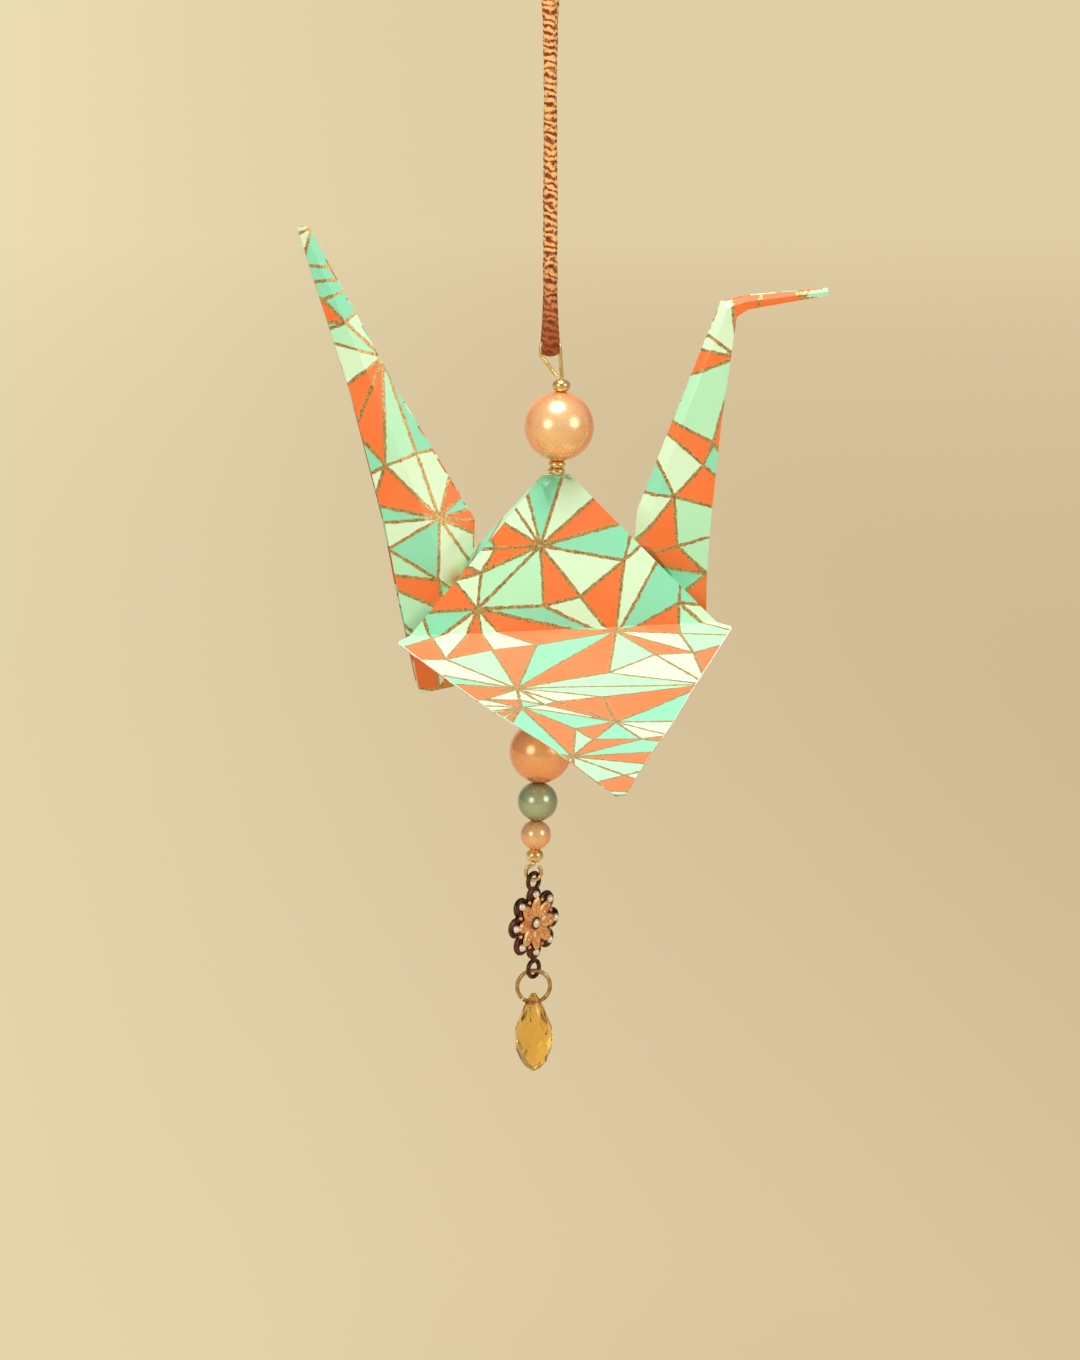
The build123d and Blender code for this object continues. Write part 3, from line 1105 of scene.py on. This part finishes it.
@dataclass
class SatinCord:
    """The doubled cord: two halves from the eye's bar up to the knot."""

    diameter: float = 2.4
    wire: float = 0.76
    drop: float = 78.5
    gap: float = 0.02
    opening: float = 2.5
    knot_height: float = 10.5
    knot_radius: float = 3.2
    knot_points: int = 18
    knot_reach: float = 1.75
    knot_wave: float = 0.85
    knot_depth: float = 1.5
    knot_strand: float = 1.15
    sides: int = 20
    flat_width: float = 1.62
    flat_depth: float = 0.88
    flat_until: float = 1.5
    flat_fade: float = 9.0
    depth_share: float = 0.96
    curve_steps: int = 24

    def route(self, side: int) -> list[Vector]:
        """Give the control points of one half, in millimetres.

        Args:
            side: 1 for the front half, -1 for the back one.

        Returns:
            The points, from under the bar up into the knot.
        """
        wrap = self.wire / 2 + self.diameter / 2 + 2 * self.gap
        beside = self.diameter / 2 + self.gap
        bar = -self.drop
        return [
            Vector((0, 0, bar - wrap)),
            Vector((0, -wrap * side, bar - wrap)),
            Vector((0.02 * side, -1.02 * beside * side, bar + 9)),
            Vector((-0.06 * beside * side, -1.02 * beside * side, bar + 45)),
            Vector((-0.45 * beside * side, -0.96 * beside * side, bar + 67)),
            Vector((-self.opening * side, -0.4 * side, -1.0)),
            Vector((-0.54 * self.diameter * side, 0.0, self.knot_height - 0.9 * self.knot_radius)),
        ]

    def smooth_line(self, name: str, points: list[Vector], closed: bool = False) -> list[Vector]:
        """Draw one smooth curve over its control points.

        Args:
            name: the curve's name.
            points: its control points, in millimetres.
            closed: whether it ends where it starts.

        Returns:
            Points along the curve, in millimetres.
        """
        curve = bpy.data.curves.new(name, "CURVE")
        curve.dimensions = "3D"
        curve.resolution_u = self.curve_steps
        spline = curve.splines.new("NURBS")
        spline.points.add(len(points) - 1)
        for spot, point in zip(spline.points, points):
            spot.co = (*point, 1.0)
        spline.use_cyclic_u = closed
        spline.order_u = 3
        spline.use_endpoint_u = not closed
        holder = bpy.data.objects.new(name, curve)
        bpy.context.scene.collection.objects.link(holder)
        bpy.context.view_layer.update()
        mesh = bpy.data.meshes.new_from_object(holder.evaluated_get(bpy.context.evaluated_depsgraph_get()))
        line = [vertex.co.copy() for vertex in mesh.vertices]
        bpy.data.objects.remove(holder)
        bpy.data.curves.remove(curve)
        bpy.data.meshes.remove(mesh)
        return line

    def tube(
        self, name: str, line: list[Vector], section: Callable[[float], tuple[float, float]], closed: bool = False
    ) -> bpy.types.Object:
        """Make a tube along a line.

        Args:
            name: the piece's name.
            line: points along the tube's middle, in millimetres.
            section: gives the half width across and the half depth at a distance along the line.
            closed: whether the line ends where it starts.

        Returns:
            The tube, with a chart named wrap that runs once round it and along it in millimetres.
        """
        around = self.sides
        points: list[Vector] = []
        faces: list[list[int]] = []
        chart: list[float] = []
        travelled = [0.0]
        for before, after in zip(line, line[1:]):
            travelled.append(travelled[-1] + (after - before).length)
        across = Vector((1, 0, 0))
        count = len(line)
        for index, middle in enumerate(line):
            ahead = line[(index + 1) % count] if closed or index + 1 < count else middle
            behind = line[index - 1] if closed or index else middle
            along = (ahead - behind).normalized()
            across = (across - along * across.dot(along)).normalized()
            deep = along.cross(across)
            wide, thick = section(travelled[index])
            for step in range(around):
                angle = 2 * math.pi * step / around
                points.append((middle + across * wide * math.cos(angle) + deep * thick * math.sin(angle)) * MM)
        rings = count if closed else count - 1
        for ring in range(rings):
            ahead = (ring + 1) % count
            end = travelled[ahead] if ahead else travelled[-1] + (line[0] - line[-1]).length
            for step in range(around):
                following = (step + 1) % around
                faces.append(
                    [ring * around + step, ring * around + following, ahead * around + following, ahead * around + step]
                )
                low, high = step / around, (step + 1) / around
                chart.extend((low, travelled[ring], high, travelled[ring], high, end, low, end))
        if not closed:
            for start, turn in ((0, -1), (count - 1, 1)):
                ring_points = [start * around + step for step in range(around)]
                faces.append(ring_points[::turn])
                chart.extend([0.0, travelled[start]] * around)
        piece = new_piece(name, points, faces)
        layer = piece.data.uv_layers.new(name="wrap")
        layer.data.foreach_set("uv", chart)
        return piece

    def squeezed(self, distance: float) -> tuple[float, float]:
        """Give the cord's section, flattened where it goes round the eye's bar.

        Args:
            distance: how far along the cord, from under the eye's bar.

        Returns:
            The half width and the half depth.
        """
        half = self.diameter / 2
        share = min(max((distance - self.flat_until) / self.flat_fade, 0.0), 1.0)
        share = share * share * (3 - 2 * share)
        ripple = 0.03 * math.sin(2 * math.pi * distance / RIB_PITCH) + 0.04 * math.sin(0.9 * distance)
        wide = self.flat_width + (half - self.flat_width) * share + ripple
        return (wide, self.flat_depth + (half * self.depth_share - self.flat_depth) * share)

    def knot(self) -> list[Vector]:
        """Lay out the knot, one closed turn over and under itself.

        Returns:
            The points, in millimetres.
        """
        centre = Vector((0, 0, self.knot_height))
        points = []
        for step in range(self.knot_points):
            angle = 2 * math.pi * step / self.knot_points
            reach = self.knot_reach + self.knot_wave * math.cos(3 * angle)
            across, deep = reach * math.cos(2 * angle), self.knot_depth * math.sin(3 * angle)
            points.append(centre + Vector((across, deep, reach * math.sin(2 * angle))))
        return points

    def build(self) -> None:
        """Make both halves, the knot and its two cut ends."""
        finish = Satin().material()
        around_knot = self.smooth_line("knot_line", self.knot(), True)
        knot = self.tube("tied_knot", around_knot, lambda _: (self.knot_strand, self.knot_strand), True)
        parts = [knot]
        for hand in (-1, 1):
            start = Vector((0.5 * hand, 0.2 * hand, self.knot_height))
            line = self.smooth_line(
                "end_line",
                [start, start + Vector((1.0 * hand, 0.3 * hand, 2.6)), start + Vector((2.2 * hand, 0.6 * hand, 5.2))],
            )
            parts.append(self.tube(f"cut_end_{hand + 2}", line, lambda _: (1.05, 0.95)))
        for part in parts:
            part.data.materials.append(finish)
            settle(part, 50)
        activate(knot)
        for part in parts:
            part.select_set(True)
        bpy.ops.object.join()
        deselect()
        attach(knot, "hanger")
        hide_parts("cord_knot")
        for side, node in ((1, "cord_front"), (-1, "cord_back")):
            line = self.smooth_line("cord_line", self.route(side))
            half = self.tube("satin_" + node, line, self.squeezed)
            half.data.materials.append(finish)
            settle(half, 60)
            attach(half, "hanger")
            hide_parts(node)


@dataclass
class FlowerLink:
    """The cast flower in its scalloped rim, with a loop above and one below."""

    centre: Place = (-3.176, 0.0, -190.68)
    turn: float = 42.5
    scallops: int = 8
    scallop_reach: float = 5.25
    scallop: float = 1.62
    rim_wire: float = 0.42
    plate: float = 0.9
    plate_radius: float = 5.3
    petal_length: float = 4.6
    petal_width: float = 2.7
    petal_reach: float = 2.95
    petal_lift: float = 0.24
    bead: float = 0.78
    bead_reach: float = 5.75
    stud: float = 0.42
    stud_reach: float = 4.75
    collar: float = 1.15
    collar_wire: float = 0.24
    boss: float = 0.95
    boss_height: float = 0.6
    loop: float = 1.6
    loop_wire: float = 0.45
    loop_up: float = 8.3
    loop_down: float = 9.2
    front: list[bpy.types.Object] = field(default_factory=list)
    core: list[bpy.types.Object] = field(default_factory=list)

    def around(self, reach: float, half_step: bool = False) -> list[tuple[float, float, float]]:
        """Space the repeats evenly round the flower.

        Args:
            reach: how far each lies from the flower's middle.
            half_step: whether they lie between the petals.

        Returns:
            The angle and the two coordinates of each.
        """
        spots = []
        for index in range(self.scallops):
            angle = 2 * math.pi * (index + (0.5 if half_step else 0.0)) / self.scallops
            spots.append((angle, reach * math.cos(angle), reach * math.sin(angle)))
        return spots

    def ring(self, place: Place, radius: float, wire: float, finish: bpy.types.Material) -> bpy.types.Object:
        """Add a round wire ring that lies in the flower's plane.

        Args:
            place: the ring's middle.
            radius: radius to the wire's middle.
            wire: the wire's radius.
            finish: its material.

        Returns:
            The ring.
        """
        deselect()
        bpy.ops.mesh.primitive_torus_add(
            location=Vector(place) * MM,
            major_radius=radius * MM,
            minor_radius=wire * MM,
            major_segments=28,
            minor_segments=10,
        )
        return self.finished(finish)

    def finished(self, finish: bpy.types.Material) -> bpy.types.Object:
        """Apply the active piece's place and give it its finish.

        Args:
            finish: its material.

        Returns:
            The piece.
        """
        piece = bpy.context.object
        bpy.ops.object.transform_apply(location=True, rotation=True, scale=True)
        piece.data.materials.append(finish)
        return piece

    def ball(self, place: Place, radius: float, height: float, finish: bpy.types.Material) -> bpy.types.Object:
        """Add a round bead, flattened to a height, on the flower.

        Args:
            place: the bead's middle.
            radius: the bead's radius.
            height: its half height.
            finish: its material.

        Returns:
            The bead.
        """
        deselect()
        bpy.ops.mesh.primitive_uv_sphere_add(
            segments=16, ring_count=10, radius=radius * MM, location=Vector(place) * MM, scale=(1, 1, height / radius)
        )
        return self.finished(finish)

    def petal(self, finish: bpy.types.Material) -> bpy.types.Object:
        """Add one petal along the first axis: a drop with a groove down its middle and a lifted tip.

        Args:
            finish: its material.

        Returns:
            The petal.
        """
        deselect()
        bpy.ops.mesh.primitive_uv_sphere_add(segments=20, ring_count=14, radius=MM)
        piece = self.finished(finish)
        half = self.petal_length / 2
        pick(piece, lambda point: True)
        bpy.ops.transform.resize(value=(half, self.petal_width / 2, 0.5))
        pick(piece, lambda point: point.x < -0.35 * half)
        bpy.ops.transform.resize(value=(1, 0.55, 0.8))
        pick(piece, lambda point: abs(point.y) < 0.25 and point.z > 0.05)
        bpy.ops.transform.translate(value=(0, 0, -self.petal_lift * MM))
        pick(piece, lambda point: point.x > 0.45 * half)
        bpy.ops.transform.translate(value=(0, 0, self.petal_lift * MM))
        pick(piece, lambda point: True)
        bpy.ops.transform.translate(value=(self.petal_reach * MM, 0, (self.plate / 2 + 0.12) * MM))
        bpy.ops.object.mode_set(mode="OBJECT")
        return piece

    @staticmethod
    def turned(piece: bpy.types.Object, angle: float, axis: str = "Z") -> bpy.types.Object:
        """Copy a piece with its own mesh, turned about an axis of the flower.

        Args:
            piece: the piece to copy.
            angle: the turn, in radians.
            axis: the axis to turn about.

        Returns:
            The copy.
        """
        copy = piece.copy()
        copy.data = piece.data.copy()
        copy.data.transform(Matrix.Rotation(angle, 4, axis))
        bpy.context.scene.collection.objects.link(copy)
        return copy

    def plates(self, dark: bpy.types.Material) -> None:
        """Add the flat plate, its scallops and the stalk over the lower loop.

        Args:
            dark: its material.
        """
        scallops = [((x, y, 0), self.scallop, 0.55 * self.plate) for _, x, y in self.around(self.scallop_reach)]
        for place, radius, depth in [((0, 0, 0), self.plate_radius, self.plate)] + scallops:
            deselect()
            bpy.ops.mesh.primitive_cylinder_add(
                vertices=40, radius=radius * MM, depth=depth * MM, location=Vector(place) * MM
            )
            disc = self.finished(dark)
            soften = disc.modifiers.new("edge", "BEVEL")
            soften.width = 0.12 * MM
            soften.segments = 2
            apply_modifiers(disc)
            self.core.append(disc)
        deselect()
        bpy.ops.mesh.primitive_cube_add(size=MM, location=(0, -7.3 * MM, 0), scale=(1.2, 1.5, 0.8))
        stalk = self.finished(dark)
        pick(stalk, lambda point: point.y < -7.5)
        bpy.ops.transform.resize(value=(0.7, 1, 0.9))
        bpy.ops.object.mode_set(mode="OBJECT")
        soften = stalk.modifiers.new("edge", "BEVEL")
        soften.width = 0.15 * MM
        soften.segments = 2
        apply_modifiers(stalk)
        self.core.append(stalk)

    def build(self) -> None:
        """Make the flower in its own plane, turn it to its place and let it replace the plain link."""
        dark = PlatedMetal("antique_brown", (112, 76, 66), (32, 18, 16), 0.24, 0.9).material()
        copper = PlatedMetal("copper_petals", (255, 204, 150), (226, 104, 52), 0.34, 0.65, 500.0).material()
        pale = PlatedMetal("pale_beads", (255, 250, 238), (246, 214, 178), 0.4, 0.3).material()
        self.plates(dark)
        for _, x, y in self.around(self.scallop_reach):
            self.core.append(self.ring((x, y, 0), self.scallop, self.rim_wire, dark))
        for _, x, y in self.around(self.bead_reach):
            self.front.append(self.ball((x, y, 0.55 * self.plate), self.bead, self.bead, pale))
        for _, x, y in self.around(self.stud_reach, True):
            self.front.append(self.ball((x, y, 0.5 * self.plate), self.stud, self.stud, copper))
        first = self.petal(copper)
        self.front.append(first)
        for angle, _, _ in self.around(1.0)[1:]:
            self.front.append(self.turned(first, angle))
        self.front.append(self.ring((0, 0, self.plate / 2 + 0.05), self.collar, self.collar_wire, dark))
        self.front.append(self.ball((0, 0, self.plate / 2 + 0.2), self.boss, self.boss_height, pale))
        back = [self.turned(piece, math.pi, "Y") for piece in self.front]
        for rise in (self.loop_up, -self.loop_down):
            self.core.append(self.ring((0, rise, 0), self.loop, self.loop_wire, dark))
        link = self.core[0]
        activate(link)
        for piece in self.core + self.front + back:
            piece.select_set(True)
        bpy.ops.object.join()
        link.name = "cast_flower"
        turn = math.radians(self.turn)
        axes = Matrix(((math.cos(turn), 0, math.sin(turn)), (math.sin(turn), 0, -math.cos(turn)), (0, 1, 0))).to_4x4()
        link.data.transform(Matrix.Translation(Vector(self.centre) * MM) @ axes)
        settle(link, 40)
        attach(link, "link")
        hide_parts("flower_link")
        log.info("cast_flower: %d faces", len(link.data.polygons))


@dataclass
class Studio:
    """Camera, soft lamps and a pale backdrop."""

    azimuth: float = -7.0
    elevation: float = 12.0
    distance: float = 700.0
    frame_width: float = 205.2
    target: Place = (1.77, 0.0, -132.3)
    offset: Flat = (-3.67, -10.36)
    sensor: float = 36.0
    floor: float = -330.0
    floor_side: float = 6.0
    floor_ahead: float = 1.5
    wall_height: float = 3.5
    cove: float = 1.2
    wall_base: Shade = (226, 208, 172)
    # The backdrop's seen colour runs from its light colour to a painted shade colour.
    wall_light: Shade = (236, 222, 181)
    wall_painted_shade: Shade = (206, 181, 141)
    wall_share: float = 0.82
    wall_span: Flat = (-1.4, 1.5)
    wall_half: float = 0.36

    def camera(self) -> None:
        """Set the camera where the photograph was taken from."""
        turn, rise = math.radians(self.azimuth), math.radians(self.elevation)
        ahead = Vector((-math.sin(turn) * math.cos(rise), math.cos(turn) * math.cos(rise), -math.sin(rise)))
        right = Vector((math.cos(turn), math.sin(turn), 0))
        up = right.cross(ahead)
        aim = Vector(self.target) + right * self.offset[0] + up * self.offset[1]
        data = bpy.data.cameras.new("view")
        data.sensor_fit = "HORIZONTAL"
        data.sensor_width = self.sensor
        data.lens = self.sensor * self.distance / self.frame_width
        data.clip_start = 0.01
        camera = bpy.data.objects.new("view", data)
        camera.matrix_world = Matrix.Translation((aim - ahead * self.distance) * MM) @ Matrix(
            ((right.x, up.x, -ahead.x), (right.y, up.y, -ahead.y), (right.z, up.z, -ahead.z))
        ).to_4x4()
        bpy.context.scene.collection.objects.link(camera)
        bpy.context.scene.camera = camera

    def lamp(self, name: str, place: Place, size: float, power: float, colour: tuple[float, float, float]) -> None:
        """Add a round lamp that faces the crane.

        Args:
            name: the lamp's name.
            place: its place, in metres.
            size: its width, in metres.
            power: its power, in watts.
            colour: its colour, as linear light.
        """
        data = bpy.data.lights.new(name, "AREA")
        data.shape = "DISK"
        data.size = size
        data.energy = power
        data.color = colour
        lamp = bpy.data.objects.new(name, data)
        lamp.location = place
        aim = Vector((0.0, 0.0, -0.13)) - Vector(place)
        lamp.rotation_euler = aim.to_track_quat("-Z", "Y").to_euler()
        bpy.context.scene.collection.objects.link(lamp)

    def backdrop(self) -> None:
        """Add a pale floor that curves up into a wall, which camera and mirror rays see with painted shade darkening it
        towards the near right and painted light brightening it further back.
        """
        deselect()
        bpy.ops.mesh.primitive_plane_add(size=self.floor_side, location=(0, self.floor_ahead, self.floor * MM))
        floor = bpy.context.object
        floor.name = "backdrop"
        bpy.ops.object.mode_set(mode="EDIT")
        bpy.ops.mesh.select_all(action="DESELECT")
        bpy.ops.object.mode_set(mode="OBJECT")
        for edge in floor.data.edges:
            ends = [floor.data.vertices[index].co.y for index in edge.vertices]
            edge.select = min(ends) > 0.45 * self.floor_side
        bpy.ops.object.mode_set(mode="EDIT")
        bpy.ops.mesh.select_mode(type="EDGE")
        bpy.ops.mesh.extrude_region_move(TRANSFORM_OT_translate={"value": (0, 0, self.wall_height)})
        bpy.ops.object.mode_set(mode="OBJECT")
        bevel = floor.modifiers.new("cove", "BEVEL")
        bevel.width = self.cove
        bevel.segments = 12
        finish = Finish("pale_backdrop")
        finish.set(Base_Color=linear(*self.wall_base), Roughness=0.9)
        ray = finish.node("ShaderNodeLightPath")
        mirrored = finish.math("MAXIMUM", ray.outputs["Is Glossy Ray"], ray.outputs["Is Transmission Ray"])
        seen = finish.math("MAXIMUM", ray.outputs["Is Camera Ray"], mirrored)
        plain = finish.node("ShaderNodeEmission")
        parts = finish.node("ShaderNodeSeparateXYZ")
        finish.join(finish.node("ShaderNodeTexCoord").outputs["Object"], parts.inputs[0])
        # Painted shade: the seen colour darkens towards the near right; painted light: the glow grows brighter further
        # back.
        near = finish.spread(parts.outputs[1], *self.wall_span, 1.0, 0.45)
        aside = finish.spread(parts.outputs[0], -self.wall_half, self.wall_half, 0.0, 1.0, True)
        painted_shade_share = finish.math("MULTIPLY", aside, near)
        finish.join(finish.mix(painted_shade_share, linear(*self.wall_light), linear(*self.wall_painted_shade)), plain.inputs[0])
        finish.join(finish.spread(parts.outputs[1], *self.wall_span, 1.0, 1.16), plain.inputs[1])
        blend = finish.node("ShaderNodeMixShader")
        finish.join(finish.math("MULTIPLY", seen, self.wall_share), blend.inputs[0])
        finish.join(finish.surface.outputs[0], blend.inputs[1])
        finish.join(plain.outputs[0], blend.inputs[2])
        finish.join(blend.outputs[0], finish.tree.nodes["Material Output"].inputs[0])
        floor.data.materials.append(finish.material)

    def build(self) -> None:
        """Set the camera, the light and the backdrop."""
        self.camera()
        self.lamp("overhead", (-0.1, -0.22, 0.74), 0.6, 9.2, (1.0, 0.98, 0.93))
        self.lamp("window", (0.6, -0.55, 0.12), 0.45, 1.6, (1.0, 0.97, 0.92))
        self.lamp("room", (-0.62, -0.62, 0.1), 0.45, 1.5, (1.0, 0.97, 0.91))
        world = bpy.data.worlds.new("soft_room")
        world.use_nodes = True
        glow = world.node_tree.nodes["Background"]
        glow.inputs[0].default_value = (0.9, 0.86, 0.78, 1.0)
        glow.inputs[1].default_value = 0.4
        bpy.context.scene.world = world
        self.backdrop()
        bpy.context.scene.view_settings.view_transform = "Standard"


def dress(node: str, finish: bpy.types.Material) -> None:
    """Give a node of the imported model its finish.

    Args:
        node: the node's name.
        finish: its material.
    """
    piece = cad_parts[node]
    for slot in piece.material_slots:
        slot.material = finish
    if not piece.material_slots:
        piece.data.materials.append(finish)
    log.info("%s: %s", node, finish.name)


def main() -> None:
    """Build and dress the ornament."""
    logging.basicConfig(level=logging.INFO, format="%(name)s: %(message)s")
    Studio().build()
    SatinCord().build()
    pattern = FanPrint(seed=41, spacing=25.0, reach=(-130.0, -100.0, 130.0, 165.0))
    crane = PaperCrane().build(pattern)
    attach(crane, "strand")
    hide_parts("paper_crane")
    log.info("folded_sheet: %d faces", len(crane.data.polygons))
    FlowerLink().build()
    gold = PlatedMetal("gold_plate", (248, 218, 156), (184, 134, 70), 0.2).material()
    for node in ("wire_pin", "upper_spacer", "ring_spacer_top", "ring_spacer_bottom", "stop_crimp", "gold_bead"):
        dress(node, gold)
    dress("upper_pearl", PearlCoat("coat_upper", Pearl.PEACHY).material())
    dress("lower_pearl", PearlCoat("coat_lower", Pearl.ORANGE).material())
    dress("green_pearl", PearlCoat("coat_green", Pearl.GREEN).material())
    dress("peach_pearl", PearlCoat("coat_peach", Pearl.PEACH).material())
    dress("jump_ring", PlatedMetal("ring_brass", (206, 166, 108), (116, 76, 40), 0.24).material())
    dress("glass_drop", AmberGlass().material())


if __name__ == "__main__":
    main()
